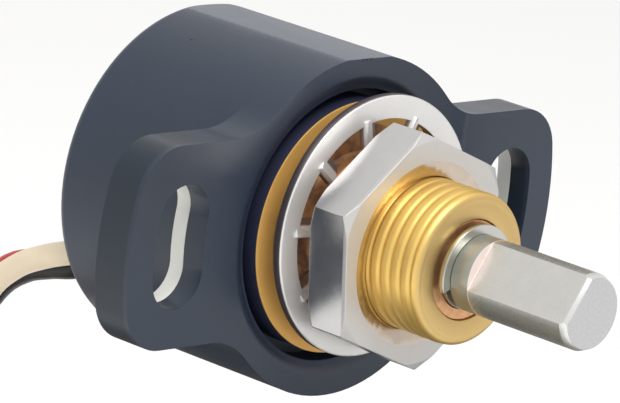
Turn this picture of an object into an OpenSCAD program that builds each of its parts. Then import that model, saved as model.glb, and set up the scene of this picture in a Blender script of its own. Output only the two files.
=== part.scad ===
// Hall effect angle sensor: a round moulded body with two slotted ears, a threaded
// brass bushing that carries the shaft, and three leads out of the back.
// Frame: the origin is on the shaft axis in the plane of the body's front face.
// +Z is up, +X runs along the ears and the shaft points to -Y.

/* [Body] */
// Outside diameter of the round body
body_d = 18; // [17.6:0.2:24]
// Wall round the electronics
body_wall = 0.8; // [0.6:0.05:1]
// Depth of the flat on top of the body, below the round
top_flat_depth = 0.14; // [0.05:0.01:0.4]
// Rounding of the rear outer edge
rear_edge_r = 0.6; // [0.2:0.1:0.8]
// Thickness of the inner wall behind the bushing's flange
floor_t = 1.2; // [1:0.1:2]
// Width of the ledge that the circuit board sits on
ledge_w = 0.8; // [0.5:0.1:1.2]

/* [Ears] */
// Plastic between the round body and each slot
slot_gap = 1.4; // [1:0.05:4]
// Plastic outside each slot, at the ear's round end
ear_rim = 1.75; // [1.1:0.05:4]
// Width of each ear
ear_w = 10.56; // [9.6:0.02:12.6]
// Thickness of each ear
ear_t = 2.3; // [1.8:0.1:4]
// Rounding of the ears' outer corners
ear_corner_r = 2.6; // [1:0.1:3]
// Rounding where each ear runs into the body
ear_root_r = 3.9; // [2:0.1:5]
// Width of each slot
slot_w = 3.4; // [2.4:0.1:4.1]
// Angle between the centres of a slot's two round ends
slot_angle = 14.4; // [8:0.2:16]
// Thickness of plastic in front of each slot plate
slot_web_t = 1.35; // [1:0.05:1.6]
// Width of the slot plate's rim round its slot
plate_rim = 1; // [0.5:0.1:1]

/* [Front recess] */
// Width of the flat face between the body's edge and the recess
face_w = 1; // [0.6:0.1:1.5]
// Width of the recess's sloping edge
lip_w = 0.8; // [0.3:0.05:1]
// Depth of the recess's sloping edge
lip_depth = 0.37; // [0.2:0.01:0.6]
// Gap between the recess's wall and the bushing's flange
flange_gap = 0.53; // [0.2:0.01:0.8]

/* [Bushing] */
// Outside diameter of the bushing's thread
thread_d = 7.95; // [6.6:0.05:8.6]
// Length of the bushing in front of the body's front face
bushing_l = 8.55; // [8:0.05:12]
// Bevel at the bushing's nose
nose_bevel = 0.35; // [0.2:0.05:0.8]
// Thickness of the bushing's flange
flange_t = 2.1; // [1.5:0.1:2.5]
// How far the flange stands in front of the body's front face
flange_proud = 0.1; // [0:0.05:0.5]
// Wall round the rear bearing, in the spigot behind the flange
spigot_wall = 2.4; // [1:0.1:2.6]
// Gap round the shaft between the two bearings
bore_gap = 0.35; // [0.1:0.05:0.5]

/* [Bearings] */
// Wall of the bearing sleeves
bearing_wall = 0.6; // [0.55:0.05:0.9]
// Length of each bearing sleeve
bearing_l = 3; // [2:0.1:5]
// How far the front bearing sits behind the nose
bearing_inset = 0.1; // [0:0.05:0.5]
// Running clearance of the shaft in its bearings, on the radius
running_gap = 0.02; // [0.01:0.01:0.05]

/* [Shaft] */
// Diameter of the shaft
shaft_d = 4; // [3.4:0.1:4.8]
// Length of the shaft in front of the bushing's nose
shaft_reach = 8.25; // [4:0.05:25]
// Round stretch of the shaft between the retaining ring and the flat
flat_gap = 1.17; // [0.2:0.01:2]
// Depth of the flat on the shaft's end
flat_depth = 0.56; // [0.2:0.02:0.8]
// Turn of the flat from the top, towards -X, in degrees
shaft_flat_turn = 58; // [0:1:359]
// Length of the bevel at the shaft's end
shaft_bevel_l = 0.4; // [0.1:0.05:0.6]
// Depth of the bevel at the shaft's end
shaft_bevel_h = 0.17; // [0.05:0.01:0.4]
// Step down from the shaft to its rear journal, inside the magnet holder
journal_step = 0.5; // [0.2:0.05:0.7]
// Length of the shaft's rear journal
journal_l = 1.8; // [1:0.1:2.5]

/* [Retaining ring] */
// How far the retaining ring stands out from the shaft
ring_reach = 0.5; // [0.2:0.05:0.8]
// Thickness of the retaining ring
ring_t = 0.33; // [0.2:0.01:0.5]
// Depth of the groove that the ring sits in
ring_groove = 0.3; // [0.2:0.05:0.4]
// End play between the bushing's nose and the ring
end_play = 0.2; // [0.05:0.01:0.6]
// Angle of the opening in the ring
ring_opening = 90; // [30:5:120]
// Turn of the opening's middle from the top, towards -X, in degrees
ring_opening_turn = 155; // [0:1:359]

/* [Nut and washer] */
// Wall of the nut between its thread and its flats
nut_wall = 1.575; // [1.2:0.025:2.5]
// Thickness of the nut
nut_t = 2.6; // [2:0.1:3]
// Distance from the body's front face to the nut's rear face
nut_seat = 2.7; // [2.6:0.1:5]
// Bevel of the nut's corners along the axis
nut_bevel = 0.3; // [0.1:0.05:0.6]
// Width of the countersink at each end of the nut's thread
countersink_w = 0.83; // [0.3:0.01:1]
// Depth of that countersink
countersink_depth = 0.15; // [0.05:0.05:0.8]
// Turn of the nut's first corner from the top, towards -X, in degrees
nut_turn = 8.4; // [0:0.2:59.8]
// Gap between the bushing's thread and the lock washer's ring
washer_gap = 1.695; // [1:0.005:2]
// Width of the lock washer's ring
washer_ring_w = 1.22; // [1:0.01:1.8]
// Thickness of the lock washer's sheet
washer_t = 0.5; // [0.3:0.05:0.8]
// Distance from the body's front face to the washer's front
washer_front = 1.7; // [1.4:0.01:1.9]
// How far the loose washer has shifted off the axis
washer_shift = 0.5; // [0:0.05:0.6]
// Direction of that shift from the top, towards +X, in degrees
washer_shift_turn = 27; // [0:1:359]
// Number of the washer's inner teeth
tooth_count = 10; // [6:1:12]
// Width of each tooth
tooth_w = 1; // [0.8:0.05:1.3]
// Twist of each tooth out of the washer's plane
tooth_twist = 25; // [10:1:30]
// Turn of the first tooth from the top, towards -X, in degrees
tooth_turn = 14.5; // [0:0.5:39.5]

/* [Magnet] */
// Wall of the magnet holder round the magnet
holder_wall = 0.9; // [0.4:0.1:1.5]
// Thickness of the thrust washer in front of the holder
thrust_washer_t = 0.25; // [0.1:0.05:0.4]
// Diameter of the magnet
magnet_d = 5; // [3.2:0.1:6]
// Thickness of the magnet
magnet_t = 2; // [1:0.1:2.5]
// Gap between the magnet and the hall chip
air_gap = 0.5; // [0.3:0.05:1]

/* [Circuit board] */
// Thickness of the circuit board
board_t = 1; // [0.8:0.1:1.6]
// Width of the hall chip
chip_w = 4.9; // [4:0.1:6]
// Height of the hall chip between its rows of legs
chip_h = 3.9; // [3:0.1:4.5]
// Thickness of the hall chip
chip_t = 1.1; // [0.9:0.1:1.8]
// Length of the spacer ring between the board and the rear cover
spacer_l = 0.76; // [0.4:0.02:6]
// Thickness of the rear cover
cover_t = 1.4; // [1:0.1:2]

/* [Leads] */
// Diameter of each lead
lead_d = 1.3; // [1:0.05:1.6]
// Gap between neighbouring leads in the grommet
lead_gap = 0.13; // [0.06:0.01:0.3]
// Thickness of the grommet's lip outside the rear cover
grommet_lip_t = 0.6; // [0.3:0.1:1]
// Rubber round the leads in the grommet
grommet_wall = 0.5; // [0.4:0.05:0.7]
// Mean radius of the outermost turn of the coiled leads
coil_r = 10.4; // [10:0.1:13]
// Number of turns in the coil
coil_turns = 2.9; // [2:0.1:3.4]
// Width of the tie round the coil
tie_w = 2.4; // [1.5:0.1:3.5]
// Thickness of the tie's strap
tie_t = 0.6; // [0.4:0.1:1]

/* [Hidden] */
$fn = 96;

fit_gap = 0.02;                 // radial gap of pieces that are pushed or bonded together
end_relief = 0.002;             // how much wider the slots are at their round ends
past = 1;                       // how far a cutter runs past the face that it cuts
body_r = body_d / 2;
lip_r = body_r - face_w;
recess_r = lip_r - lip_w;
flange_r = recess_r - flange_gap;
thread_r = thread_d / 2;
shaft_r = shaft_d / 2;
bearing_bore_r = shaft_r + running_gap;
bearing_r = shaft_r + bearing_wall;
bushing_bore_r = shaft_r + bore_gap;
spigot_r = bearing_r + spigot_wall;
slot_centre_r = body_r + slot_gap + slot_w / 2;
ear_reach = slot_centre_r + slot_w / 2 + ear_rim;

// Depths behind the front face, in the order in which the pieces stack up.
float_gap = end_play / 4;       // on each side of the thrust washer
flange_rear = flange_t - flange_proud;
floor_rear = flange_rear + floor_t;
washer_rear = floor_rear + float_gap + thrust_washer_t;
holder_front = washer_rear + float_gap;
magnet_seat = 0.1;              // wall of the holder between journal and magnet
magnet_front = washer_rear + journal_l + magnet_seat;
magnet_rear = magnet_front + magnet_t;
board_front = magnet_rear + air_gap + chip_t;
board_rear = board_front + board_t;
cover_front = board_rear + spacer_l;
body_depth = cover_front + cover_t;
grommet_rear = body_depth + grommet_lip_t;
bay_r = body_r - body_wall;
ledge_r = bay_r - ledge_w;
cover_r = bay_r - fit_gap;
board_gap = 0.1;
journal_r = shaft_r - journal_step;
magnet_r = magnet_d / 2;
holder_r = magnet_r + fit_gap + holder_wall;

// Distances in front of the front face.
ring_rear = bushing_l + end_play;
ring_front = ring_rear + ring_t;
flat_start = ring_front + flat_gap;
shaft_l = bushing_l + shaft_reach;
nut_front = nut_seat + nut_t;
washer_rear_face = washer_front - washer_t;
nut_af = thread_d + 2 * nut_wall;

// The hall chip's legs, and the small pieces round the chip.
leg_count = 4;
leg_pitch = 1.27;
leg_w = 0.4;
leg_t = 0.15;
leg_reach = 1;
leg_shoulder = 0.45;
leg_h = 0.6;
part_gap = 0.5;
capacitor_size = [0.8, 1.6, 0.8];
resistor_size = [1.6, 0.8, 0.45];
resistor_x = 1.4;

// The holes for the leads stand in a slanting row: [x, z] of each.
first_hole = [-5, -4.2];
hole_row_turn = -24.8;
hole_pitch = lead_d + lead_gap;
lead_holes = [for (i = [0 : 2])
    first_hole + i * hole_pitch * [cos(hole_row_turn), sin(hole_row_turn)]];
lead_hole_r = lead_d / 2 + fit_gap;
grommet_r = lead_d / 2 + grommet_wall;
grommet_lip_r = grommet_r + 0.3;
solder_h = 0.4;
solder_r = 0.55;

// Routes of the free leads, as [x, y, z] from where each leaves its hole in the grommet.
white_route = [[-0.4, 1.7, -0.6], [-0.6, 3.2, -1.2], [-0.6, 5.2, -2.3], [-0.6, 7, -4.1],
               [-0.6, 8.1, -7.1], [-0.6, 8.5, -10.8], [-0.6, 8.5, -14.8],
               [-0.6, 8.1, -18.6], [-0.6, 7.1, -21.8]];
black_route = [[-0.4, 2.2, -1], [-0.5, 4, -1.5], [-0.5, 5.8, -2.2], [-0.5, 7.8, -3.8],
               [-0.5, 9.2, -6.6], [-0.5, 9.6, -10.2], [-0.5, 9.2, -14.2],
               [-0.5, 8.4, -18], [-0.5, 7.1, -21.2]];
red_route = [[-0.3, 2.7, -0.6], [-0.4, 4.7, -1], [-0.4, 6.7, -1.4], [-0.4, 8.8, -2.4],
             [-0.4, 10.5, -4.8], [-0.4, 10.9, -8.6], [-0.4, 10.2, -12.6],
             [-0.4, 8.8, -17], [-0.4, 7.1, -20.6]];

// The coiled part of the leads hangs on edge, below and behind the body.
lead_pitch = lead_d + 0.1;
coil_slack = 0.05;
coil_centre = [lead_holes[1][0] - 0.5, grommet_rear + 16.2, -31];
coil_outer_r = coil_r + lead_d / 2 + coil_slack;
coil_inner_r = coil_r - coil_turns * lead_pitch - lead_d / 2;
coil_w = 2 * lead_pitch + lead_d + 2 * coil_slack;
tie_gap = 0.05;
// [y, z] of the loose end inside the coil, from the coil's centre
tail_route = [[-2.4, 5.9], [-3.5, 4.6], [-4.4, 2.8], [-4.6, 0.7], [-4, -1.2]];

// Turns a piece drawn along +Z so that it points forward, to -Y; its y becomes up.
module forward() { rotate([90, 0, 0]) children(); }

// A ring or disc between two distances in front of the front face.
module sleeve(outer, inner, from, to) {
    translate([0, 0, from]) difference() {
        cylinder(r = outer, h = to - from);
        if (inner > 0) translate([0, 0, -past]) cylinder(r = inner, h = to - from + 2 * past);
    }
}

// Direction [x, y] in the front view, turned from the top towards -X.
function turned(angle) = [-sin(angle), cos(angle)];

// Curved slot on the +X side, grown by an amount on all sides.
module slot_outline(grow) {
    half = slot_w / 2 + grow;
    reach = 2 * slot_centre_r;
    intersection() {
        difference() {
            circle(r = slot_centre_r + half);
            circle(r = slot_centre_r - half);
        }
        polygon([[0, 0], reach * [cos(slot_angle / 2), -sin(slot_angle / 2)],
                 reach * [cos(slot_angle / 2), sin(slot_angle / 2)]]);
    }
    for (side = [-1, 1])
        rotate(side * slot_angle / 2) translate([slot_centre_r, 0]) circle(r = half + end_relief);
}

// What rounds off one outer corner of an ear.
module ear_corner_cut() {
    centre_r = ear_reach - ear_corner_r;
    cy = ear_w / 2 - ear_corner_r;
    cx = sqrt(centre_r * centre_r - cy * cy);
    difference() {
        polygon([[cx, cy], [cx, ear_w], [2 * ear_reach, ear_w],
                 [cx, cy] * 2 * ear_reach / centre_r]);
        translate([cx, cy]) circle(r = ear_corner_r);
    }
}

// What fills one inner corner between an ear and the body.
module ear_root_fill() {
    cy = ear_w / 2 + ear_root_r;
    cx = sqrt(pow(body_r + ear_root_r, 2) - cy * cy);
    difference() {
        polygon([[0, 0], [cx, 0], [cx, cy]]);
        translate([cx, cy]) circle(r = ear_root_r);
    }
}

module front_outline() difference() {
    union() {
        circle(r = body_r);
        intersection() {
            circle(r = ear_reach);
            square([3 * ear_reach, ear_w], center = true);
        }
        for (mx = [0, 1], my = [0, 1]) mirror([mx, 0]) mirror([0, my]) ear_root_fill();
    }
    for (mx = [0, 1], my = [0, 1]) mirror([mx, 0]) mirror([0, my]) ear_corner_cut();
}

module housing() color("#42474f") forward() difference() {
    union() {
        translate([0, 0, -ear_t]) linear_extrude(ear_t) front_outline();
        // the round body behind the ears, with its rounded rear edge
        rotate_extrude() difference() {
            translate([0, -body_depth]) square([body_r, body_depth - ear_t]);
            translate([body_r - rear_edge_r, -body_depth]) difference() {
                translate([0, -past]) square([rear_edge_r + past, rear_edge_r + past]);
                translate([0, rear_edge_r]) circle(r = rear_edge_r);
            }
        }
    }
    // recess for the flange, hole for the spigot, space for magnet and electronics
    rotate_extrude() polygon([
        [0, past], [lip_r + past * lip_w / lip_depth, past],
        [recess_r, -lip_depth], [recess_r, -flange_rear],
        [spigot_r + fit_gap, -flange_rear], [spigot_r + fit_gap, -floor_rear],
        [ledge_r, -floor_rear], [ledge_r, -board_front],
        [bay_r, -board_front], [bay_r, -body_depth - past], [0, -body_depth - past]]);
    // flat on top
    translate([-body_r, body_r - top_flat_depth, -body_depth - past])
        cube([body_d, body_r, body_depth + 2 * past]);
    // slots, and pockets for the slot plates in the backs of the ears
    for (mx = [0, 1]) mirror([mx, 0, 0]) {
        translate([0, 0, -ear_t - past]) linear_extrude(ear_t + 2 * past) slot_outline(0);
        translate([0, 0, -ear_t - past]) linear_extrude(ear_t - slot_web_t + past)
            slot_outline(plate_rim);
    }
}

module slot_plates() color("#b4b6af") forward()
    for (mx = [0, 1]) mirror([mx, 0, 0])
        translate([0, 0, -ear_t]) linear_extrude(ear_t - slot_web_t) difference() {
            slot_outline(plate_rim - fit_gap);
            slot_outline(0);
        }

module bushing() color("#d8a94e") forward() difference() {
    rotate_extrude() polygon([
        [bushing_bore_r, -floor_rear], [spigot_r, -floor_rear],
        [spigot_r, -flange_rear], [flange_r, -flange_rear], [flange_r, flange_proud],
        [thread_r, flange_proud], [thread_r, bushing_l - nose_bevel],
        [thread_r - nose_bevel, bushing_l], [bushing_bore_r, bushing_l]]);
    // seats of the two bearings
    translate([0, 0, bushing_l - bearing_inset - bearing_l])
        cylinder(r = bearing_r + fit_gap, h = bearing_l + bearing_inset + past);
    translate([0, 0, -floor_rear - past])
        cylinder(r = bearing_r + fit_gap, h = bearing_l + past);
}

module front_bearing() color("#cf8148") forward()
    sleeve(bearing_r, bearing_bore_r, bushing_l - bearing_inset - bearing_l,
           bushing_l - bearing_inset);

module rear_bearing() color("#cf8148") forward()
    sleeve(bearing_r, bearing_bore_r, -floor_rear, -floor_rear + bearing_l);

module shaft() color("#cfcfca") forward() difference() {
    rotate_extrude() polygon([
        [0, -washer_rear - journal_l], [journal_r, -washer_rear - journal_l],
        [journal_r, -washer_rear], [shaft_r, -washer_rear],
        [shaft_r, ring_rear - fit_gap], [shaft_r - ring_groove, ring_rear - fit_gap],
        [shaft_r - ring_groove, ring_front + fit_gap], [shaft_r, ring_front + fit_gap],
        [shaft_r, shaft_l - shaft_bevel_l], [shaft_r - shaft_bevel_h, shaft_l],
        [0, shaft_l]]);
    rotate(shaft_flat_turn) translate([-shaft_d, shaft_r - flat_depth, 0]) {
        translate([0, 0, flat_start]) cube([2 * shaft_d, shaft_d, shaft_l]);
        // a shorter bevel where the flat meets the end face
        translate([0, 0, shaft_l - shaft_bevel_h])
            rotate([45, 0, 0]) cube([2 * shaft_d, shaft_d, shaft_d]);
    }
}

module retaining_ring() color("#a9aaa6") forward() {
    inner_r = shaft_r - ring_groove + fit_gap;
    rotate(90 + ring_opening_turn + ring_opening / 2)
        rotate_extrude(angle = 360 - ring_opening)
            translate([inner_r, ring_rear]) square([shaft_r + ring_reach - inner_r, ring_t]);
}

module thrust_washer() color("#c9c9c4") forward()
    sleeve(holder_r, shaft_r + 2 * running_gap, -washer_rear, -washer_rear + thrust_washer_t);

module magnet_holder() color("#c9a255") forward() difference() {
    sleeve(holder_r, journal_r + fit_gap / 2, -magnet_rear, -holder_front);
    translate([0, 0, -magnet_rear - past]) cylinder(r = magnet_r + fit_gap, h = magnet_t + past);
}

module magnet() color("#70737a") forward() sleeve(magnet_r, 0, -magnet_rear, -magnet_front);

module circuit_board() color("#1f6b45") forward()
    sleeve(bay_r - board_gap, 0, -board_rear, -board_front);

// A block that stands on the board's front, centred at [x, y].
module on_board(at, size) {
    translate([at[0] - size[0] / 2, at[1] - size[1] / 2, -board_front]) cube(size);
}

module hall_chip() color("#26272a") forward() {
    on_board([0, 0], [chip_w, chip_h, chip_t]);
    // a row of bent legs on each long side
    for (side = [-1, 1], i = [0 : leg_count - 1]) {
        x = (i - (leg_count - 1) / 2) * leg_pitch;
        foot_l = leg_reach - leg_shoulder / 2;
        on_board([x, side * (chip_h / 2 + leg_reach - foot_l / 2)], [leg_w, foot_l, leg_t]);
        on_board([x, side * (chip_h / 2 + leg_shoulder / 2)], [leg_w, leg_shoulder, leg_h]);
    }
}

module capacitors() color("#b08d5e") forward() {
    near = chip_w / 2 + part_gap + capacitor_size[0] / 2;
    for (x = [-near - capacitor_size[0] - part_gap, -near, near]) on_board([x, 0], capacitor_size);
}

module resistors() color("#2e2f33") forward()
    for (side = [-1, 1])
        on_board([side * resistor_x, chip_h / 2 + leg_reach + 4 * part_gap], resistor_size);

module solder_joints() color("#c8cacd") forward()
    for (hole = lead_holes)
        translate([hole[0], hole[1], -board_front])
            cylinder(r1 = solder_r, r2 = solder_r / 2, h = solder_h);

module spacer_ring() color("#53585f") forward()
    sleeve(cover_r, ledge_r, -cover_front, -board_rear);

// Long hole or plug round the row of leads, grown to a radius.
module lead_row(r, from, to) {
    run = 2 * hole_pitch;
    forward() translate([first_hole[0], first_hole[1], -to]) rotate(hole_row_turn)
        linear_extrude(to - from) {
            for (x = [0, run]) translate([x, 0]) circle(r = r);
            translate([0, -r]) square([run, 2 * r]);
        }
}

module rear_cover() color("#3a3f46") difference() {
    forward() sleeve(cover_r, 0, -body_depth, -cover_front);
    lead_row(grommet_r + fit_gap, cover_front - past, body_depth + past);
}

module lead_grommet() color("#1c1d20") difference() {
    union() {
        lead_row(grommet_r, cover_front, body_depth);
        lead_row(grommet_lip_r, body_depth, grommet_rear);
    }
    for (hole = lead_holes) translate([hole[0], 0, hole[1]]) forward()
        translate([0, 0, -grommet_rear - past])
            cylinder(r = lead_hole_r, h = cover_t + grommet_lip_t + 2 * past);
}

module lock_washer() color("#d9dad6") forward()
    translate(concat(washer_shift * turned(-washer_shift_turn), washer_rear_face)) {
        ring_inner_r = thread_r + washer_gap;
        tip_r = thread_r + washer_shift + 2 * fit_gap;
        rotate_extrude() translate([ring_inner_r, 0]) square([washer_ring_w, washer_t]);
        for (i = [0 : tooth_count - 1])
            rotate(90 + tooth_turn + i * 360 / tooth_count)
                translate([tip_r, 0, washer_t / 2]) rotate([tooth_twist, 0, 0])
                    translate([0, -tooth_w / 2, -washer_t / 2])
                        cube([ring_inner_r - tip_r + washer_ring_w / 5, tooth_w, washer_t]);
    }

module hex_nut() color("#d3d4d6") forward() difference() {
    corner_r = nut_af / 2 / cos(30);
    bevel_r = nut_bevel / tan(30);
    bore_r = thread_r + fit_gap;
    countersink_past = past * countersink_w / countersink_depth;
    intersection() {
        rotate(90 + nut_turn) translate([0, 0, nut_seat])
            cylinder(r = corner_r, h = nut_t, $fn = 6);
        rotate_extrude() polygon([
            [0, nut_seat], [corner_r - bevel_r, nut_seat], [corner_r, nut_seat + nut_bevel],
            [corner_r, nut_front - nut_bevel], [corner_r - bevel_r, nut_front],
            [0, nut_front]]);
    }
    rotate_extrude() polygon([
        [0, nut_seat - past], [bore_r + countersink_w + countersink_past, nut_seat - past],
        [bore_r, nut_seat + countersink_depth], [bore_r, nut_front - countersink_depth],
        [bore_r + countersink_w + countersink_past, nut_front + past], [0, nut_front + past]]);
}

// Ring of corners round one point of a route; the routes never run along X.
function unit(v) = v / norm(v);
function heading(route, i) =
    unit(route[min(i + 1, len(route) - 1)] - route[max(i - 1, 0)]);
function corner_ring(route, i, r, sides) =
    let (along = heading(route, i), a = unit(cross(along, [1, 0, 0])), b = cross(along, a))
    [for (k = [0 : sides - 1])
        route[i] + r * (cos(360 * k / sides) * a + sin(360 * k / sides) * b)];

// Tube swept along a route.
module tube(route, r, sides = 8) {
    rings = len(route);
    corners = [for (i = [0 : rings - 1]) each corner_ring(route, i, r, sides)];
    walls = [for (i = [0 : rings - 2], k = [0 : sides - 1])
        let (next = (k + 1) % sides)
        [i * sides + k, i * sides + next, (i + 1) * sides + next, (i + 1) * sides + k]];
    start = [for (k = [0 : sides - 1]) sides - 1 - k];
    end = [for (k = [0 : sides - 1]) (rings - 1) * sides + k];
    polyhedron(corners, concat(walls, [start, end]));
}

// A lead: from the board's back out through the grommet and down to the coil, and its end.
module lead(hole, route) {
    exit = [hole[0], grommet_rear, hole[1]];
    points = [for (p = route) exit + p];
    last = points[len(points) - 1];
    tube(concat([[exit[0], board_rear, exit[2]], exit], points), lead_d / 2);
    tube([for (p = tail_route) [last[0], coil_centre[1] + p[0], coil_centre[2] + p[1]]], lead_d / 2);
}

module white_lead() color("#ead9c0") lead(lead_holes[0], white_route);
module black_lead() color("#1b1b1d") lead(lead_holes[1], black_route);
module red_lead() color("#b3262b") lead(lead_holes[2], red_route);

module lead_coil() color("#8f7f74")
    translate(coil_centre) rotate([0, 90, 0]) difference() {
        cylinder(r = coil_outer_r, h = coil_w, center = true);
        cylinder(r = coil_inner_r, h = coil_w + 2 * past, center = true);
    }

// Strap round the top of the coil.
module coil_tie() color("#202124") {
    inner_w = coil_w + 2 * tie_gap;
    half = tie_w / 2;
    low = sqrt(coil_inner_r * coil_inner_r - half * half) - tie_gap;
    high = coil_outer_r + tie_gap;
    translate(coil_centre) difference() {
        translate([-inner_w / 2 - tie_t, -half, low - tie_t])
            cube([inner_w + 2 * tie_t, tie_w, high - low + 2 * tie_t]);
        translate([-inner_w / 2, -half - past, low])
            cube([inner_w, tie_w + 2 * past, high - low]);
    }
}

housing();
slot_plates();
bushing();
front_bearing();
rear_bearing();
shaft();
retaining_ring();
thrust_washer();
magnet_holder();
magnet();
circuit_board();
hall_chip();
capacitors();
resistors();
solder_joints();
spacer_ring();
rear_cover();
lead_grommet();
lock_washer();
hex_nut();
red_lead();
white_lead();
black_lead();
lead_coil();
coil_tie();
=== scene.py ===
# A round rotary sensor with a threaded bushing, a nut and a lock washer, and three leads.
import math

import bmesh
import bpy
from mathutils import Euler, Matrix, Vector


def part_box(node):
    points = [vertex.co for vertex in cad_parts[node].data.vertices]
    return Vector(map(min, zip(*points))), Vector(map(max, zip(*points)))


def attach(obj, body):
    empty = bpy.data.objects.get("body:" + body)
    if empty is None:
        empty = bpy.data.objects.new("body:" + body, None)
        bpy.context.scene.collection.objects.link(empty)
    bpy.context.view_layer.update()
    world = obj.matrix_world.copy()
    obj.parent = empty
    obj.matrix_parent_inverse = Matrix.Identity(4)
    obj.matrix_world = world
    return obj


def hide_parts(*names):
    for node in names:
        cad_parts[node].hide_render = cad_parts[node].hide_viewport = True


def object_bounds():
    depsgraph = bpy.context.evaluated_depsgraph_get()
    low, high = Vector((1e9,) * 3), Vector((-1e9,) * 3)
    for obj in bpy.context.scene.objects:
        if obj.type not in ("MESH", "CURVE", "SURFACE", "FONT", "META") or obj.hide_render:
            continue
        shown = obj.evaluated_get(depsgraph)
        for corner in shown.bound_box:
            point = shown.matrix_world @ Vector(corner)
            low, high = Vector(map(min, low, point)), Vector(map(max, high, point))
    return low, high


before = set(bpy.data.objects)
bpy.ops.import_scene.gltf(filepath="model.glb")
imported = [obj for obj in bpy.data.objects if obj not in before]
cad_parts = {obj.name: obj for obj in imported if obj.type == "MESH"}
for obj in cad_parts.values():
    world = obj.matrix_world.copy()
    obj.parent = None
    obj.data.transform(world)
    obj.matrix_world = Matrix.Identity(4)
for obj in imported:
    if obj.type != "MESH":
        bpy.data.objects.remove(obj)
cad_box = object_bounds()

bl_info = {
    "name": "Hall effect angle sensor",
    "version": (1, 0, 0),
    "blender": (4, 5, 0),
    "location": "3D View > Sidebar > Sensor",
    "description": "Builds a bushing-mounted angle sensor round its packed model",
    "category": "Object",
}

MM = 0.001
FULL = 2 * math.pi

# marks on the plastic, in metres: a pit in the top, and three nicks in its flat's front edge
PIT = (-0.00413, 0.00869, 0.008)
EDGE_NICKS = ((-0.00045, 0.00001, 0.00886), (-0.00015, 0.00001, 0.00886),
              (0.00015, 0.00001, 0.00886))
# how far in front of the mounting face the shaft's flat starts, and the shaft ends
SHOULDER = 10.25 * MM
SHAFT_END = -cad_box[0][1]


# ---------------------------------------------------------------- sizes and colours

def length(name, description, default, low=0.0):
    return bpy.props.FloatProperty(
        name=name, description=description, default=default, min=low,
        unit="LENGTH", subtype="DISTANCE", precision=5)


def colour(name, description, default):
    return bpy.props.FloatVectorProperty(
        name=name, description=description, default=default, min=0, max=1,
        size=3, subtype="COLOR")


def factor(name, description, default, high=1.0):
    return bpy.props.FloatProperty(
        name=name, description=description, default=default, min=0, max=high)


class SensorSizes(bpy.types.PropertyGroup):
    """Sizes of the details that the frame leaves out."""
    thread_pitch: length("Thread pitch", "Distance between two ridges", 0.69 * MM)
    thread_depth: length("Thread depth", "Height of a ridge", 0.075 * MM)
    thread_start: length("Thread start", "From the mounting face to the thread", 0.786 * MM)
    moulded_edge: length("Moulded edge", "Rounding of the plastic's edges", 0.14 * MM)
    metal_edge: length("Metal edge", "Rounding of the metal's edges", 0.06 * MM)
    grain: length("Grain", "Size of the plastic's grain", 0.09 * MM)
    lead_diameter: length("Lead", "Diameter over the insulation", 1.3 * MM)
    coil_radius: length("Coil", "Mean radius of the outermost turn", 10.4 * MM)
    coil_pitch: length("Coil pitch", "From one turn to the next", 1.4 * MM)
    coil_turns: factor("Turns", "Turns in the coil", 2.9, 10)


class SensorColours(bpy.types.PropertyGroup):
    """Colours of the finishes."""
    plastic: colour("Plastic", "Moulded body", (0.0145, 0.0245, 0.045))
    plate: colour("Plates", "Plates in the slots", (0.72, 0.72, 0.68))
    brass: colour("Brass", "Turned bushing", (0.90, 0.62, 0.19))
    bronze: colour("Bronze", "Bearing sleeves", (0.87, 0.48, 0.25))
    steel: colour("Steel", "Ground shaft", (0.66, 0.65, 0.62))
    nickel: colour("Nickel", "Nut and lock washer", (0.62, 0.61, 0.60))
    white_lead: colour("Light lead", "Cream insulation", (0.74, 0.63, 0.46))
    red_lead: colour("Red lead", "Red insulation", (0.42, 0.012, 0.02))
    black_lead: colour("Black lead", "Black insulation", (0.004, 0.004, 0.005))
    board: colour("Board", "Solder mask", (0.02, 0.16, 0.07))


class SensorStage(bpy.types.PropertyGroup):
    """Camera, floor and light."""
    floor: colour("Floor", "Plain floor", (0.90, 0.90, 0.90))
    surround: factor("Surround", "Strength of the even light", 0.92, 5)
    key: factor("Key light", "Power of the overhead light in watts", 0.6, 50)
    lens: factor("Lens", "Focal length in millimetres", 319.4, 1000)


# ---------------------------------------------------------------- materials

class Value:
    """A socket of a finish that takes part in sums."""

    def __init__(self, finish, socket):
        self.finish = finish
        self.socket = socket

    def math(self, operation, *others):
        return self.finish.node("ShaderNodeMath", {"operation": operation}, self, *others)

    def __add__(self, other):
        return self.math("ADD", other)

    __radd__ = __add__

    def __sub__(self, other):
        return self.math("SUBTRACT", other)

    def __rsub__(self, other):
        return self.finish.node("ShaderNodeMath", {"operation": "SUBTRACT"}, other, self)

    def __mul__(self, other):
        return self.math("MULTIPLY", other)

    __rmul__ = __mul__

    def __pow__(self, other):
        return self.math("POWER", other)

    def clamped(self):
        return self.finish.node("ShaderNodeClamp", {}, self)

    def between(self, low, high):
        """0 below low, 1 above high, and smooth between them."""
        return self.finish.node(
            "ShaderNodeMapRange", {"interpolation_type": "SMOOTHSTEP"}, self, low, high, 0.0, 1.0)


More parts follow.
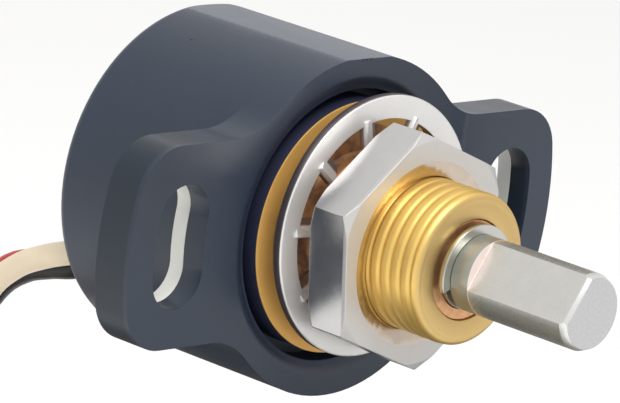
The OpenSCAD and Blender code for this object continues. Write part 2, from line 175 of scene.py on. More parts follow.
class Finish:
    """A material that is put together from named steps."""

    def __init__(self, name, base, roughness=0.5, metallic=0.0, **constants):
        self.material = bpy.data.materials.new(name)
        self.material.use_nodes = True
        self.tree = self.material.node_tree
        self.shader = next(n for n in self.tree.nodes if n.type == "BSDF_PRINCIPLED")
        self.base = tuple(base)
        self.shader.inputs["Base Color"].default_value = (*base, 1.0)
        self.shader.inputs["Roughness"].default_value = roughness
        self.shader.inputs["Metallic"].default_value = metallic
        for socket, number in constants.items():
            self.shader.inputs[socket.replace("_", " ")].default_value = number
        self.where = self.node("ShaderNodeTexCoord", {}, out="Object")

    def node(self, kind, settings, *values, out=0, named=None):
        """A node with its settings, and the values or links of its sockets; gives one output."""
        made = self.tree.nodes.new(kind)
        for name, setting in settings.items():
            setattr(made, name, setting)
        for key, value in [*enumerate(values), *(named or {}).items()]:
            if isinstance(value, Value):
                self.tree.links.new(value.socket, made.inputs[key])
            elif value is not None:
                made.inputs[key].default_value = value
        return Value(self, made.outputs[out])

    def set(self, socket, value):
        """Feeds a value to a socket of the shader."""
        self.tree.links.new(value.socket, self.shader.inputs[socket])
        return self

    def noise(self, size, detail=2.0, roughness=0.5, where=None, distortion=0.0):
        """Noise whose marks are about that size in metres, from 0 to 1."""
        return self.node("ShaderNodeTexNoise", {}, named={
            "Vector": where or self.where, "Scale": 1 / size, "Detail": detail,
            "Roughness": roughness, "Distortion": distortion})

    def stretched(self, x, y, z):
        """The place, with each direction multiplied."""
        return self.node("ShaderNodeVectorMath", {"operation": "MULTIPLY"},
                         self.where, (x, y, z))

    def along(self):
        """The place's x, y and z."""
        parts = self.node("ShaderNodeSeparateXYZ", {}, self.where).socket.node
        return [Value(self, part) for part in parts.outputs]

    def around_shaft(self):
        """Distance from the shaft's axis, and the place along it."""
        x, y, z = self.along()
        return (x * x + z * z) ** 0.5, y

    def near(self, place, reach):
        """1 at a place given in metres, and 0 beyond its reach."""
        offset = self.node("ShaderNodeVectorMath", {"operation": "SUBTRACT"}, self.where, place)
        squared = self.node("ShaderNodeVectorMath", {"operation": "DOT_PRODUCT"},
                            offset, offset, out="Value")
        return 1 - squared.between(0.3 * reach ** 2, reach ** 2)

    def lathe(self, size):
        """Marks that run round the shaft's axis, as a cutting tool leaves them."""
        radius, y = self.around_shaft()
        x, _, z = self.along()
        line = self.node("ShaderNodeCombineXYZ", {}, radius, y, (x + z) * 0.02)
        return self.noise(size, 3.0, 0.6, line)

    def mix(self, amount, first, second):
        """The first colour where the amount is 0, and the second where it is 1."""
        first, second = ((*shade, 1.0) if isinstance(shade, tuple) else shade
                         for shade in (first, second))
        return self.node("ShaderNodeMix", {"data_type": "RGBA"},
                         named={0: amount, 6: first, 7: second}, out=2)

    def bump(self, height, distance):
        """Raises the surface by height times distance in metres."""
        normal = self.node("ShaderNodeBump", {}, named={
            "Height": height, "Distance": distance, "Strength": 1.0})
        return self.set("Normal", normal)

    def vary(self, mask, dark, light):
        """Base colour that runs between two multiples of itself."""
        return self.set("Base Color",
                        self.mix(mask, scaled(self.base, dark), scaled(self.base, light)))

    def roughness(self, mask, low, high):
        """Roughness that runs between two values."""
        return self.set("Roughness", mask * (high - low) + low)


def scaled(shade, amount):
    """A colour made lighter or darker."""
    return tuple(min(1, c * amount) for c in shade)


def sizes():
    return bpy.context.scene.sensor_sizes


def colours():
    return bpy.context.scene.sensor_colours


def plastic_finish():
    """Dark moulded plastic with a fine grain, polished flats with painted light, faint flow marks,
    painted shade on the ears' sides, painted light in the recess, and a pit and nicks with painted
    shade.
    """
    finish = Finish("moulded_plastic", colours().plastic, 0.3)
    grain = finish.noise(sizes().grain, 3.0, 0.55)
    flow = finish.noise(4.5 * MM, 3.0, 0.5, distortion=0.6)
    rub = finish.noise(0.6 * MM, 4.0, 0.65).between(0.55, 0.75)
    radius, y = finish.around_shaft()
    _, _, z = finish.along()
    # painted colours: shade on the ears' outer sides, a lighter tone for the light in the recess,
    # and near-black shade in the pit and nicks
    ear_side_painted_shade, recess_painted_light, pit_painted_shade = (
        (0.003, 0.011, 0.022), (0.034, 0.047, 0.078), (0.002, 0.002, 0.002))
    flats = z.between(8.82 * MM, 8.85 * MM)
    ear_side = radius.between(11.6 * MM, 12.4 * MM) * y.between(0.15 * MM, 0.4 * MM)
    recess = (1 - radius.between(7.25 * MM, 7.5 * MM)) * (1 - y.between(2 * MM, 2.5 * MM))
    nicks = finish.near(PIT, 0.09 * MM)
    for place in EDGE_NICKS:
        nicks = nicks + finish.near(place, 0.13 * MM)
    nicks = nicks.clamped()
    base = tuple(colours().plastic)
    tone = finish.mix(flow * 0.7 + rub * 0.3, scaled(base, 0.82), scaled(base, 1.22))
    # painted shade: the ears' outer sides are darkened
    tone = finish.mix(ear_side, tone, ear_side_painted_shade)
    # painted light: the recess is given a lighter bluish tone than the plastic
    tone = finish.mix(recess, tone, recess_painted_light)
    # painted light: the top flats are made lighter as well as polished
    tone = finish.mix(flats * 0.4, tone, scaled(base, 1.9))
    # painted shade: the pit and the nicks, dug by the bump, are painted near-black
    finish.set("Base Color", finish.mix(nicks, tone, pit_painted_shade))
    worn = flow * 0.6 + grain * 0.4
    finish.roughness(worn * (1 - flats * 0.8) + recess * 0.8, 0.22, 0.46)
    return finish.bump(grain + flow * 0.6 - nicks * 6, 0.010 * MM)


def plate_finish():
    """Dull plated sheet steel, rolled one way."""
    finish = Finish("plated_steel", colours().plate, 0.5, 0.25)
    rolled = finish.noise(0.05 * MM, 3.0, 0.6, finish.stretched(0.08, 1, 1))
    cloud = finish.noise(1.6 * MM, 3.0, 0.5)
    finish.vary(cloud * 0.6 + rolled * 0.4, 0.85, 1.15)
    finish.roughness(rolled, 0.4, 0.65)
    return finish.bump(rolled, 0.003 * MM)


def brass_finish():
    """Turned brass: bright on the thread, paler on the nose, dull and browner on the flange, with
    painted shade behind the washer and a painted shadow on the flange's side.
    """
    finish = Finish("turned_brass", colours().brass, 0.38, 1.0)
    lines = finish.lathe(0.035 * MM)
    bands = finish.lathe(0.4 * MM)
    cloud = finish.noise(1.3 * MM, 3.0, 0.55)
    radius, y = finish.around_shaft()
    fresh = tuple(colours().brass)
    handled = (fresh[0] * 0.88, fresh[1] * 0.80, fresh[2] * 0.72)
    behind_washer_painted_shade, behind_washer_painted_shade_light = (0.20, 0.11, 0.08), (0.50, 0.26, 0.11)
    dull, dull_light = (0.66, 0.37, 0.095), (0.78, 0.46, 0.125)
    pale, pale_light = (0.46, 0.31, 0.15), (0.62, 0.47, 0.23)
    shadow = (0.020, 0.024, 0.055)
    nose = (1 - y.between(-8.6 * MM, -8.3 * MM)) * 0.8
    flange = radius.between(5.4 * MM, 5.7 * MM)
    rim = radius.between(6.60 * MM, 6.66 * MM) * y.between(-0.06 * MM, -0.01 * MM)
    inner = y.between(-2.7 * MM, -2.4 * MM) * (1 - flange)
    tone = finish.mix(cloud.between(0.35, 0.8) * 0.3 + bands * 0.2, fresh, handled)
    tone = finish.mix(nose, tone, finish.mix(bands, pale, pale_light))
    # painted shade: the thread behind the washer and nut is painted dark brown
    tone = finish.mix(inner, tone, finish.mix(cloud.between(0.4, 0.6), behind_washer_painted_shade, behind_washer_painted_shade_light))
    tone = finish.mix(flange, tone, finish.mix(cloud, dull, dull_light))
    finish.set("Base Color", finish.mix(rim, tone, shadow))
    finish.set("Metallic", 1 - (flange + inner) * 0.6)
    finish.roughness(lines * 0.4 + cloud * 0.3 + flange * 0.6, 0.38, 0.58)
    return finish.bump(lines + bands * 0.5, 0.004 * MM)


def bronze_finish():
    """Sintered bronze with open pores, dark with oil."""
    finish = Finish("sintered_bronze", colours().bronze, 0.38, 1.0)
    pores = finish.noise(0.06 * MM, 2.0, 0.7).between(0.56, 0.66)
    cloud = finish.noise(0.5 * MM, 3.0)
    finish.vary(cloud * (1 - pores), 0.5, 1.15)
    finish.roughness(cloud, 0.28, 0.5)
    return finish.bump(1 - pores, 0.01 * MM)


def steel_finish(name, shade):
    """Ground stainless steel with fine lines round the axis."""
    finish = Finish(name, scaled(colours().steel, shade), 0.2, 1.0)
    lines = finish.lathe(0.022 * MM)
    cloud = finish.noise(0.9 * MM, 3.0, 0.55)
    finish.vary(cloud * 0.5 + lines * 0.5, 0.86, 1.12)
    finish.roughness(lines, 0.14, 0.32)
    return finish.bump(lines, 0.0025 * MM)


def shaft_finish():
    """Ground steel, duller on the neck, with a painted reflection on the flat's shoulder wall and a
    painted highlight on the end's bevel.
    """
    base = tuple(colours().steel)
    finish = Finish("shaft_steel", base, 0.2, 1.0)
    lines = finish.lathe(0.022 * MM)
    cloud = finish.noise(0.9 * MM, 3.0, 0.55)
    pitting = finish.noise(0.16 * MM, 4.0, 0.65)
    _, y, _ = finish.along()
    neck_tone, bevel_painted_highlight = (0.33, 0.34, 0.28), (0.74, 0.74, 0.72)
    shoulder_painted_reflection, shoulder_painted_reflection_light = (0.86, 0.72, 0.67), (1, 0.93, 0.90)
    sawn, sawn_light = (0.44, 0.44, 0.45), (0.68, 0.68, 0.69)
    neck = y.between(-SHOULDER - 0.04 * MM, -SHOULDER - 0.02 * MM)
    wall = neck * (1 - y.between(-SHOULDER + 0.01 * MM, -SHOULDER + 0.03 * MM))
    face = 1 - y.between(-SHAFT_END + 0.01 * MM, -SHAFT_END + 0.03 * MM)
    bevel = (1 - y.between(-SHAFT_END + 0.2 * MM, -SHAFT_END + 0.3 * MM)) * (1 - face)
    tone = finish.mix(cloud * 0.5 + lines * 0.5, scaled(base, 0.86), scaled(base, 1.12))
    tone = finish.mix(neck * 0.75, tone, neck_tone)
    # painted reflection: the flat's shoulder wall is painted pale pink
    tone = finish.mix(wall, tone, finish.mix(pitting, shoulder_painted_reflection, shoulder_painted_reflection_light))
    # painted highlight: the end's bevel is painted lighter
    tone = finish.mix(bevel, tone, bevel_painted_highlight)
    tone = finish.mix(face, tone, finish.mix(pitting, sawn, sawn_light))
    finish.set("Base Color", tone)
    finish.roughness(lines * 0.5 + pitting * 0.5 + neck * 0.5 + wall + face * 0.5, 0.16, 0.42)
    return finish.bump(lines + pitting * face * 2, 0.0025 * MM)


def nickel_finish(name="nickel_plate", metallic=1.0, dull=0.0, wall=None, shade=1.0):
    """Nickel plate, bright on the nut's sides, satin in front with painted shade, and with a
    painted reflection and shade of the brass in its countersink.

    With a wall, what lies behind that distance in front of the mounting face has painted shade.
    """
    base = scaled(colours().nickel, shade)
    finish = Finish(name, base, 0.3, metallic)
    cloud = finish.noise(0.9 * MM, 4.0, 0.55, distortion=0.4)
    fine = finish.noise(0.12 * MM, 2.0)
    radius, y = finish.around_shaft()
    front = 1 - y.between(-5.12 * MM, -5.0 * MM)
    sink = (1 - radius.between(4.78 * MM, 4.82 * MM)) * front
    tone = finish.mix(cloud, scaled(base, 0.94), scaled(base, 1.06))
    sink_painted_reflection, sink_painted_reflection_light, shaded = (0.46, 0.36, 0.28), (0.60, 0.50, 0.40), (0.38, 0.32, 0.32)
    # painted reflection and shade: the countersink is painted brown like the brass thread
    tone = finish.mix(sink * 0.85, tone, finish.mix(cloud, sink_painted_reflection, sink_painted_reflection_light))
    satin = front * (1 - sink)
    # painted shade: the satin front is also painted darker
    tone = finish.mix(satin * 0.5, tone, scaled(base, 0.72))
    sheen = metallic - satin * 0.45
    if wall:
        behind = y.between(-wall + 0.03 * MM, -wall + 0.09 * MM)
        tone = finish.mix(behind, tone, shaded)
        sheen = sheen + behind * (1 - metallic)
    finish.set("Base Color", tone)
    finish.set("Metallic", sheen)
    finish.roughness(cloud * (1 - satin) + satin * 2.6, 0.16 + dull, 0.28 + dull)
    return finish.bump(fine * 0.5 + cloud, 0.002 * MM)


def insulation_finish(name, shade):
    """Soft extruded insulation: waxy, with faint lengthwise flow and handling marks."""
    finish = Finish(name, shade, 0.38, Specular_IOR_Level=0.45)
    cloud = finish.noise(1.4 * MM, 3.0, 0.5)
    fine = finish.noise(0.09 * MM, 3.0, 0.6)
    finish.vary(cloud, 0.88, 1.1)
    finish.roughness(fine * 0.5 + cloud * 0.5, 0.30, 0.50)
    return finish.bump(fine + cloud, 0.006 * MM)


def rubber_finish():
    """Matt rubber with bloom."""
    finish = Finish("rubber", (0.018, 0.018, 0.02), 0.7)
    fine = finish.noise(0.07 * MM, 3.0, 0.6)
    bloom = finish.noise(1.2 * MM, 3.0).between(0.45, 0.7)
    finish.vary(bloom, 0.8, 1.8)
    finish.roughness(bloom, 0.6, 0.82)
    return finish.bump(fine, 0.01 * MM)


def nylon_finish():
    """Moulded nylon strap with a lengthwise rib."""
    finish = Finish("nylon", (0.02, 0.02, 0.023), 0.45)
    _, y, _ = finish.along()
    ribs = (y * (FULL / (0.4 * MM))).math("SINE")
    fine = finish.noise(0.08 * MM, 2.0)
    finish.vary(fine, 0.8, 1.3)
    finish.roughness(fine, 0.38, 0.55)
    return finish.bump(ribs * 0.5 + fine * 0.3, 0.02 * MM)


def board_finish():
    """Glass-fibre board: solder mask over a weave, with tracks under it."""
    finish = Finish("circuit_board", colours().board, 0.35, Coat_Weight=0.4)
    x, _, z = finish.along()
    thread_spacing = 0.5 * MM
    weave = ((x * (FULL / thread_spacing)).math("SINE")
             * (z * (FULL / thread_spacing)).math("SINE"))
    tracks = (z * (FULL / (1.6 * MM))).math("SINE").between(0.55, 0.7)
    finish.vary(tracks, 1, 1.9)
    finish.roughness(finish.noise(0.8 * MM), 0.25, 0.42)
    return finish.bump(tracks + weave * 0.2, 0.02 * MM)


def ceramic_finish(name, body, tin):
    """Fired ceramic body with specks of tin."""
    finish = Finish(name, body, 0.4)
    speckle = finish.noise(0.06 * MM, 3.0, 0.6)
    shade = finish.mix(speckle, scaled(body, 0.8), scaled(body, 1.2))
    finish.set("Base Color", finish.mix(speckle.between(0.66, 0.7), shade, tin))
    finish.roughness(speckle, 0.3, 0.55)
    return finish.bump(speckle, 0.01 * MM)


def chip_finish():
    """Moulded chip package with a satin grain."""
    finish = Finish("chip_package", (0.022, 0.022, 0.025), 0.5)
    fine = finish.noise(0.05 * MM, 3.0, 0.6)
    finish.vary(fine, 0.75, 1.4)
    finish.roughness(fine, 0.42, 0.6)
    return finish.bump(fine, 0.006 * MM)


def solder_finish():
    """Bright solder with a drawn skin."""
    finish = Finish("solder", (0.68, 0.69, 0.70), 0.2, 1.0)
    skin = finish.noise(0.2 * MM, 3.0, 0.5)
    finish.vary(skin, 0.85, 1.1)
    finish.roughness(skin, 0.12, 0.35)
    return finish.bump(skin, 0.01 * MM)


def wear(piece, finish):
    """Gives a piece one finish."""
    piece.data.materials.clear()
    piece.data.materials.append(finish.material)
    return piece


# ---------------------------------------------------------------- shapes

def placed(name, bm, body, smooth_angle=35):
    """Turns a bmesh into a piece that rides on a body, smooth except at its sharp edges."""
    bmesh.ops.remove_doubles(bm, verts=bm.verts, dist=1e-7)
    bmesh.ops.recalc_face_normals(bm, faces=bm.faces)
    mesh = bpy.data.meshes.new(name)
    for face in bm.faces:
        face.smooth = True
    bm.to_mesh(mesh)
    bm.free()
    mesh.set_sharp_from_angle(angle=math.radians(smooth_angle))
    piece = bpy.data.objects.new(name, mesh)
    bpy.context.scene.collection.objects.link(piece)
    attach(piece, body)
    return piece


def sharp_edges(bm, least):
    """Edges at which two faces turn by more than an angle in degrees."""
    return [e for e in bm.edges if e.is_manifold and e.calc_face_angle(0) > math.radians(least)]


def opened(node):
    """A merged copy of a CAD node's mesh with clean flat faces."""
    bm = bmesh.new()
    bm.from_mesh(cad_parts[node].data)
    bmesh.ops.remove_doubles(bm, verts=bm.verts, dist=2e-7)
    bmesh.ops.dissolve_limit(
        bm, angle_limit=math.radians(0.4), verts=bm.verts, edges=bm.edges,
        use_dissolve_boundaries=False, delimit=set())
    return bm


def rounded(bm, edges, width, segments):
    """Bevels the edges round."""
    bmesh.ops.bevel(
        bm, geom=edges, offset=width, offset_type="OFFSET", affect="EDGES", segments=segments,
        profile=0.5, material=-1, clamp_overlap=True, loop_slide=True)


def evened(piece):
    """Keeps the big flat faces flat between their rounded edges."""
    even = piece.modifiers.new("even_shading", "WEIGHTED_NORMAL")
    even.keep_sharp = True
    even.weight = 90


def refined(node, name, edge, segments=2, least=28, body="body", smooth_angle=35):
    """A copy of a CAD node with rounded edges, wherever two faces turn by at least an angle."""
    bm = opened(node)
    rounded(bm, sharp_edges(bm, least), edge, segments)
    piece = placed(name, bm, body, smooth_angle)
    evened(piece)
    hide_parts(node)
    return piece


def dressed(node, name, edge, segments, finish, slot, **settings):
    """A refined copy of a CAD node in its finish. The slot argument is not used."""
    piece = refined(node, name, edge, segments, **settings)
    wear(piece, finish)
    return piece


def revolved(bm, profile, steps):
    """Spins an open line of radius and distance in front of the mounting face, in metres."""
    verts = [bm.verts.new((r, -s, 0)) for r, s in profile]
    edges = [bm.edges.new(pair) for pair in zip(verts, verts[1:])]
    bmesh.ops.spin(
        bm, geom=verts + edges, cent=(0, 0, 0), axis=(0, -1, 0), dvec=(0, 0, 0),
        angle=FULL, steps=steps, use_merge=True, use_normal_flip=False, use_duplicate=False)


def finish_node(node, finish):
    """A CAD node that keeps its own shape."""
    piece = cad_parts[node]
    wear(piece, finish)
    for face in piece.data.polygons:
        face.use_smooth = False


# ---------------------------------------------------------------- operators

class StageOperator(bpy.types.Operator):
    """Camera, plain floor and soft light"""
    bl_idname = "sensor.stage"
    bl_label = "Stage"

    # places and sizes in millimetres, turns in degrees
    camera_place = (-202.98, -182.73, 66.55)
    camera_right = (0.69138, -0.71125, 0.12695)
    camera_back = (-0.71776, -0.65608, 0.23321)
    floor_size = 6000
    floor_drop = 1
    key_place = (-60, -120, 260)
    key_size = 160
    daylight = (1.0, 0.995, 0.985, 1)
    card_grey = (0.2, 0.195, 0.17)
    cards = (("low_card", (7, 2, -15), (46, 34), (0, 0, 0)),
             ("shaft_card", (11, -3.2, 6), (8, 14), (90, 0, -47.6)))

    def execute(self, context):
        stage = context.scene.sensor_stage
        self.camera(stage.lens)
        self.floor(stage.floor)
        world = bpy.data.worlds.new("studio")
        world.use_nodes = True
        background = world.node_tree.nodes["Background"]
        background.inputs["Color"].default_value = self.daylight
        background.inputs["Strength"].default_value = stage.surround
        context.scene.world = world
        self.lamp("key_light", self.key_place, self.key_size, stage.key)
        for card in self.cards:
            self.card(*card)
        context.scene.view_settings.view_transform = "Standard"
        return {"FINISHED"}

    def camera(self, lens):
        """A camera at its place, looking against its back direction."""
        data = bpy.data.cameras.new("camera")
        data.sensor_width = 36
        data.lens = lens
        data.clip_start = 0.01
        camera = bpy.data.objects.new("camera", data)
        back = Vector(self.camera_back).normalized()
        up = back.cross(Vector(self.camera_right)).normalized()
        right = up.cross(back)
        place = Matrix((right, up, back)).transposed().to_4x4()
        place.translation = Vector(self.camera_place) * MM
        camera.matrix_world = place
        bpy.context.scene.collection.objects.link(camera)
        bpy.context.scene.camera = camera

    def floor(self, shade):
        """A plain floor just below the whole object."""
        bm = bmesh.new()
        bmesh.ops.create_grid(bm, x_segments=2, y_segments=2, size=self.floor_size * MM / 2)
        height = cad_box[0][2] - self.floor_drop * MM
        bmesh.ops.translate(bm, verts=bm.verts, vec=(0, 0, height))
        self.staged("floor", bm, Finish("floor", shade, 0.8))

    def card(self, name, place, size, turn):
        """A grey card that only shows in reflections, to shape the metal's undersides."""
        bm = bmesh.new()
        bmesh.ops.create_grid(bm, x_segments=1, y_segments=1, size=0.5)
        bmesh.ops.scale(bm, verts=bm.verts, vec=(size[0] * MM, size[1] * MM, 1))
        bmesh.ops.rotate(bm, verts=bm.verts, cent=(0, 0, 0),
                         matrix=Euler([math.radians(a) for a in turn]).to_matrix())
        bmesh.ops.translate(bm, verts=bm.verts, vec=Vector(place) * MM)
        card = self.staged(name, bm, Finish(name, self.card_grey, 0.9))
        card.visible_camera = False
        card.visible_diffuse = False
        card.visible_shadow = False

    def staged(self, name, bm, finish):
        """Turns a bmesh into something that belongs to the stage."""
        mesh = bpy.data.meshes.new(name)
        bm.to_mesh(mesh)
        bm.free()
        mesh.materials.append(finish.material)
        thing = bpy.data.objects.new(name, mesh)
        bpy.context.scene.collection.objects.link(thing)
        return thing

    def lamp(self, name, place, size, power):
        """A square light that faces the object."""
        data = bpy.data.lights.new(name, "AREA")
        data.energy = power
        data.size = size * MM
        lamp = bpy.data.objects.new(name, data)
        lamp.location = Vector(place) * MM
        lamp.rotation_euler = (-lamp.location).to_track_quat("-Z", "Y").to_euler()
        bpy.context.scene.collection.objects.link(lamp)


class LeadsOperator(bpy.types.Operator):
    """Three leads: out of the grommet, down, and round a neat coil"""
    bl_idname = "sensor.leads"
    bl_label = "Leads"

    # in millimetres: the holes in the grommet, and each lead's points, counted from its hole
    board_rear = 10.04
    grommet_rear = 12.8
    first_hole = (-5, -4.2)
    row_turn = math.radians(-24.8)
    hole_pitch = 1.43
    routes = {
        "white_lead": ((-0.4, 1.7, -0.6), (-0.6, 3.2, -1.2), (-0.6, 5.2, -2.3), (-0.6, 7, -4.1),
                       (-0.6, 8.1, -7.1), (-0.6, 8.5, -10.8), (-0.6, 8.5, -14.8),
                       (-0.6, 8.1, -18.6)),
        "black_lead": ((-0.4, 2.2, -1), (-0.5, 4, -1.5), (-0.5, 5.8, -2.2), (-0.5, 7.8, -3.8),
                       (-0.5, 9.2, -6.6), (-0.5, 9.6, -10.2), (-0.5, 9.2, -14.2),
                       (-0.5, 8.4, -18)),
        "red_lead": ((-0.3, 2.7, -0.6), (-0.4, 4.7, -1), (-0.4, 6.7, -1.4), (-0.4, 8.8, -2.4),
                     (-0.4, 10.5, -4.8), (-0.4, 10.9, -8.6), (-0.4, 10.2, -12.6),
                     (-0.4, 8.8, -17)),
    }
    # the coil's middle and the leads' last points, as y and z, and where round it the coil starts
    coil_centre = (29, -31)
    coil_start = math.radians(150)
    points_in_turn = 14
    tail = ((26.0, -25.7), (25.3, -26.7), (24.6, -28.2), (24.4, -30.3), (25, -32.2))

    def execute(self, context):
        shades = {"white_lead": ("cream_insulation", colours().white_lead, "cream_pvc"),
                  "black_lead": ("black_insulation", colours().black_lead, "black_pvc"),
                  "red_lead": ("red_insulation", colours().red_lead, "red_pvc")}
        tie = self.tie()
        for i, (node, route) in enumerate(self.routes.items()):
            reach = i * self.hole_pitch
            hole = (self.first_hole[0] + reach * math.cos(self.row_turn),
                    self.first_hole[1] + reach * math.sin(self.row_turn))
            exit = Vector((hole[0], self.grommet_rear, hole[1]))
            points = [Vector((hole[0], self.board_rear, hole[1])), exit]
            points += [exit + Vector(p) for p in route]
            x = points[-1].x
            points += self.coil(x)
            points += [Vector((x, *p)) for p in self.tail]
            piece = self.cord(node + "_cord", points)
            name, shade, slot = shades[node]
            wear(piece, insulation_finish(name, shade))
            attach(piece, "body")
            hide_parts(*([node, "lead_coil"] if i == 0 else [node]))
        return {"FINISHED"}

    def coil(self, x):
        """Points of a flat spiral that winds inwards."""
        turns = sizes().coil_turns
        count = round(turns * self.points_in_turn)
        points = []
        for k in range(count + 1):
            turn = turns * k / count
            radius = (sizes().coil_radius - sizes().coil_pitch * turn) / MM
            angle = self.coil_start + turn * FULL
            points.append(Vector((x, self.coil_centre[0] + radius * math.cos(angle),
                                  self.coil_centre[1] + radius * math.sin(angle))))
        return points

    def cord(self, name, points):
        """A round curve through points given in millimetres."""
        curve = bpy.data.curves.new(name, "CURVE")
        curve.dimensions = "3D"
        spline = curve.splines.new("BEZIER")
        spline.bezier_points.add(len(points) - 1)
        for point, place in zip(spline.bezier_points, points):
            point.co = place * MM
            point.handle_left_type = point.handle_right_type = "AUTO"
        spline.resolution_u = 5
        curve.bevel_depth = sizes().lead_diameter / 2
        curve.bevel_resolution = 6
        curve.use_fill_caps = True
        piece = bpy.data.objects.new(name, curve)
        bpy.context.scene.collection.objects.link(piece)
        return piece

    def tie(self):
        """The strap round the coil."""
        return dressed("coil_tie", "coil_strap", 0.25 * MM, 3, nylon_finish(), "nylon")


class HousingOperator(bpy.types.Operator):
    """Moulded body with its slotted ears, and the plates in the slots"""
    bl_idname = "sensor.housing"
    bl_label = "Housing"

    def execute(self, context):
        plastic = plastic_finish()
        dressed("housing", "body_shell", sizes().moulded_edge, 3, plastic, "black_plastic")
        dressed("slot_plates", "slot_liners", 0.05 * MM, 2, plate_finish(), "steel_plate")
        dressed("rear_cover", "back_cover", 0.1 * MM, 2, plastic, "black_plastic")
        dressed("lead_grommet", "grommet", 0.15 * MM, 3, rubber_finish(), "rubber")
        finish_node("spacer_ring", plastic)
        return {"FINISHED"}


class BushingOperator(bpy.types.Operator):
    """Turned brass bushing with its helical thread, and the bearing sleeves"""
    bl_idname = "sensor.bushing"
    bl_label = "Bushing"

    # radii, and distances in front of the mounting face, in millimetres
    outer = 3.975
    bore = 2.35
    seat = 2.62
    spigot = 5.0
    flange = 6.67
    nose = 8.55
    flange_front = 0.1
    flange_rear = -2.0
    spigot_rear = -3.2
    rear_seat_front = -0.2
    front_seat_length = 3.1
    nose_bevel = 0.35
    root_corner = 0.15
    edge = 0.08
    turned_line = 3.53
    turned_line_depth = 0.02

    # the thread: how far its ridges are shifted, how sharp they are, and how fast they rise
    ridge_shift = 0.06
    ridge_sharpness = 6
    run_in = 0.5
    steps = 128
    ridge_points = 14

    def execute(self, context):
        brass = brass_finish()
        bm = bmesh.new()
        self.barrel(bm)
        self.thread(bm)
        piece = placed("threaded_bushing", bm, "body", 40)
        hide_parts("bushing")
        wear(piece, brass)
        bronze = bronze_finish()
        for node, name in (("front_bearing", "front_sleeve"), ("rear_bearing", "rear_sleeve")):
            dressed(node, name, 0.05 * MM, 2, bronze, "bronze")
        return {"FINISHED"}

    def barrel(self, bm):
        """Flange, spigot, bore and nose: all but the thread, where the line is open."""
        root = self.outer - sizes().thread_depth / MM
        start = sizes().thread_start / MM
        edge, corner = self.edge, 0.3 * self.edge
        front, rear, nose = self.flange_front, self.flange_rear, self.nose
        front_seat = nose - self.front_seat_length
        profile = [
            (root, start), (root, front + self.root_corner), (root + self.root_corner, front),
            (self.flange - edge, front), (self.flange - corner, front - corner),
            (self.flange, front - edge),
            (self.flange, rear + edge), (self.flange - edge, rear), (self.spigot, rear),
            (self.spigot, self.spigot_rear + edge), (self.spigot - edge, self.spigot_rear),
            (self.seat, self.spigot_rear), (self.seat, self.rear_seat_front),
            (self.bore, self.rear_seat_front), (self.bore, front_seat), (self.seat, front_seat),
            (self.seat, nose - edge), (self.seat + corner, nose - corner),
            (self.seat + edge, nose), (self.turned_line - edge, nose),
            (self.turned_line, nose - self.turned_line_depth),
            (self.outer - self.nose_bevel, nose)]
        revolved(bm, [(r * MM, s * MM) for r, s in profile], self.steps)

    def thread(self, bm):
        """One soft ridge, spun into a helix and trimmed to the rounded nose."""
        pitch = sizes().thread_pitch / MM
        depth = sizes().thread_depth / MM
        start = sizes().thread_start / MM
        root = self.outer - depth
        shape = []
        for i in range(self.ridge_points):
            at = i / self.ridge_points
            dip = math.cos(math.pi * (at - self.ridge_shift)) ** self.ridge_sharpness
            shape.append((at, self.outer - depth * dip))
        ridges = math.ceil((self.nose - start) / pitch) + 2
        line = [(r, start + (i - 1 + at) * pitch) for i in range(ridges) for at, r in shape]
        first = len(bm.verts)
        verts = [bm.verts.new((r * MM, -s * MM, 0)) for r, s in line]
        edges = [bm.edges.new(pair) for pair in zip(verts, verts[1:])]
        bmesh.ops.spin(
            bm, geom=verts + edges, cent=(0, 0, 0), axis=(0, -1, 0),
            dvec=(0, -sizes().thread_pitch / self.steps, 0), angle=FULL, steps=self.steps,
            use_merge=False, use_normal_flip=False, use_duplicate=False)
        bm.verts.ensure_lookup_table()
        for vert in bm.verts[first:]:
            s = min(max(-vert.co.y / MM, start), self.nose)
            radius = math.hypot(vert.co.x, vert.co.z) / MM
            over = min(1, max(0, s - self.nose + self.nose_bevel) / self.nose_bevel)
            limit = self.outer - self.nose_bevel * (1 - math.sqrt(1 - over ** 2))
            limit = min(limit, root + max(0, s - start) * self.run_in)
            scale = min(1, limit / radius)
            vert.co = Vector((vert.co.x * scale, -s * MM, vert.co.z * scale))
        bmesh.ops.remove_doubles(bm, verts=bm.verts, dist=1e-6)


class FastenersOperator(bpy.types.Operator):
    """Hex nut and tooth lock washer"""
    bl_idname = "sensor.fasteners"
    bl_label = "Nut and washer"

    # the nut's countersink meets its face at 10 degrees, and stays a sharp edge
    countersink_turn = 9.8
    washer_front = 1.7 * MM
    rolled_edge = 0.1 * MM
    tooth_edge = 0.05 * MM

    def execute(self, context):
        dressed("hex_nut", "mounting_nut", 0.04 * MM, 2, nickel_finish(), "nickel",
                least=12, smooth_angle=self.countersink_turn)
        self.washer()
        return {"FINISHED"}

    def washer(self):
        """The lock washer, with its ring's front edge rolled over."""
        bm = opened("lock_washer")
        rounded(bm, self.ring_edge(bm), self.rolled_edge, 8)
        rounded(bm, sharp_edges(bm, 40), self.tooth_edge, 2)
        piece = placed("tooth_washer", bm, "body", 35)
        evened(piece)
        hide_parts("lock_washer")
        # painted light: the washer's nickel is made 1.2 times lighter than the nut's
        wear(piece, nickel_finish("washer_nickel", 0.55, 0.16, self.washer_front, 1.2))

    def ring_edge(self, bm):
        """The outermost edge at the front of the washer's ring."""
        low, high = (Vector(corner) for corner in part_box("lock_washer"))
        centre, outer = (low + high) / 2, (high.x - low.x) / 2
        found = []
        for edge in sharp_edges(bm, 60):
            middle = (edge.verts[0].co + edge.verts[1].co) / 2
            away = math.hypot(middle.x - centre.x, middle.z - centre.z)
            if away > outer - 0.1 * MM and middle.y < low.y + 0.2 * MM:
                found.append(edge)
        return found


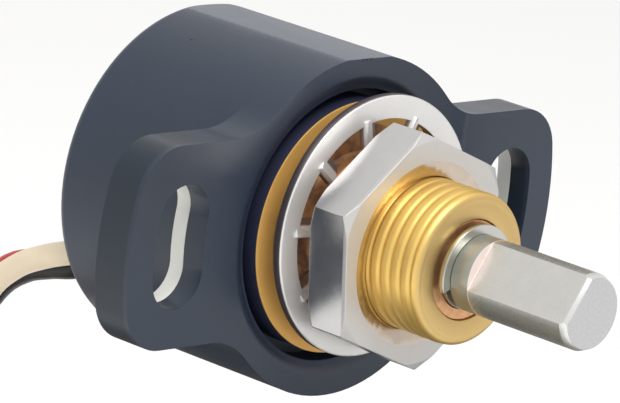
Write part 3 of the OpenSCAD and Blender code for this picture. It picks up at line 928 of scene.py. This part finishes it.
class ShaftOperator(bpy.types.Operator):
    """Shaft with its flat, and the retaining ring"""
    bl_idname = "sensor.shaft"
    bl_label = "Shaft"

    def execute(self, context):
        dressed("shaft", "turning_shaft", 0.05 * MM, 2, shaft_finish(), "stainless",
                least=18, body="rotor")
        dressed("retaining_ring", "snap_ring", 0.04 * MM, 2, steel_finish("ring_steel", 0.85),
                "stainless", body="rotor")
        return {"FINISHED"}


class InnerPartsOperator(bpy.types.Operator):
    """Magnet, its holder, the board and what is on it"""
    bl_idname = "sensor.inner_parts"
    bl_label = "Inner parts"

    def execute(self, context):
        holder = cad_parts["magnet_holder"].data.materials
        holder.clear()
        holder.append(bpy.data.materials["turned_brass"])
        finish_node("thrust_washer", steel_finish("washer_steel", 0.95))
        finish_node("magnet", steel_finish("magnet_plate", 0.75))
        finish_node("circuit_board", board_finish())
        finish_node("hall_chip", chip_finish())
        tin = (0.62, 0.62, 0.60)
        finish_node("capacitors", ceramic_finish("capacitor", (0.36, 0.24, 0.13), tin))
        finish_node("resistors", ceramic_finish("resistor", (0.03, 0.03, 0.035), tin))
        finish_node("solder_joints", solder_finish())
        return {"FINISHED"}


OPERATORS = (StageOperator, LeadsOperator, HousingOperator, BushingOperator,
             FastenersOperator, ShaftOperator, InnerPartsOperator)


class SensorPanel(bpy.types.Panel):
    """Lists the sizes, the colours and the steps"""
    bl_idname = "VIEW3D_PT_sensor"
    bl_label = "Sensor"
    bl_space_type = "VIEW_3D"
    bl_region_type = "UI"
    bl_category = "Sensor"

    def draw(self, context):
        for group in ("sensor_sizes", "sensor_colours", "sensor_stage"):
            settings = getattr(context.scene, group)
            box = self.layout.box()
            for name in settings.__annotations__:
                box.prop(settings, name)
        for operator in OPERATORS:
            self.layout.operator(operator.bl_idname)


GROUPS = {"sensor_sizes": SensorSizes, "sensor_colours": SensorColours,
          "sensor_stage": SensorStage}


def register():
    for group in GROUPS.values():
        bpy.utils.register_class(group)
    for operator in (*OPERATORS, SensorPanel):
        bpy.utils.register_class(operator)
    for name, group in GROUPS.items():
        setattr(bpy.types.Scene, name, bpy.props.PointerProperty(type=group))


def unregister():
    for name in GROUPS:
        delattr(bpy.types.Scene, name)
    for operator in reversed((*OPERATORS, SensorPanel)):
        bpy.utils.unregister_class(operator)
    for group in reversed(GROUPS.values()):
        bpy.utils.unregister_class(group)


def main():
    register()
    for operator in OPERATORS:
        family, name = operator.bl_idname.split(".")
        getattr(getattr(bpy.ops, family), name)()


if __name__ == "__main__":
    main()
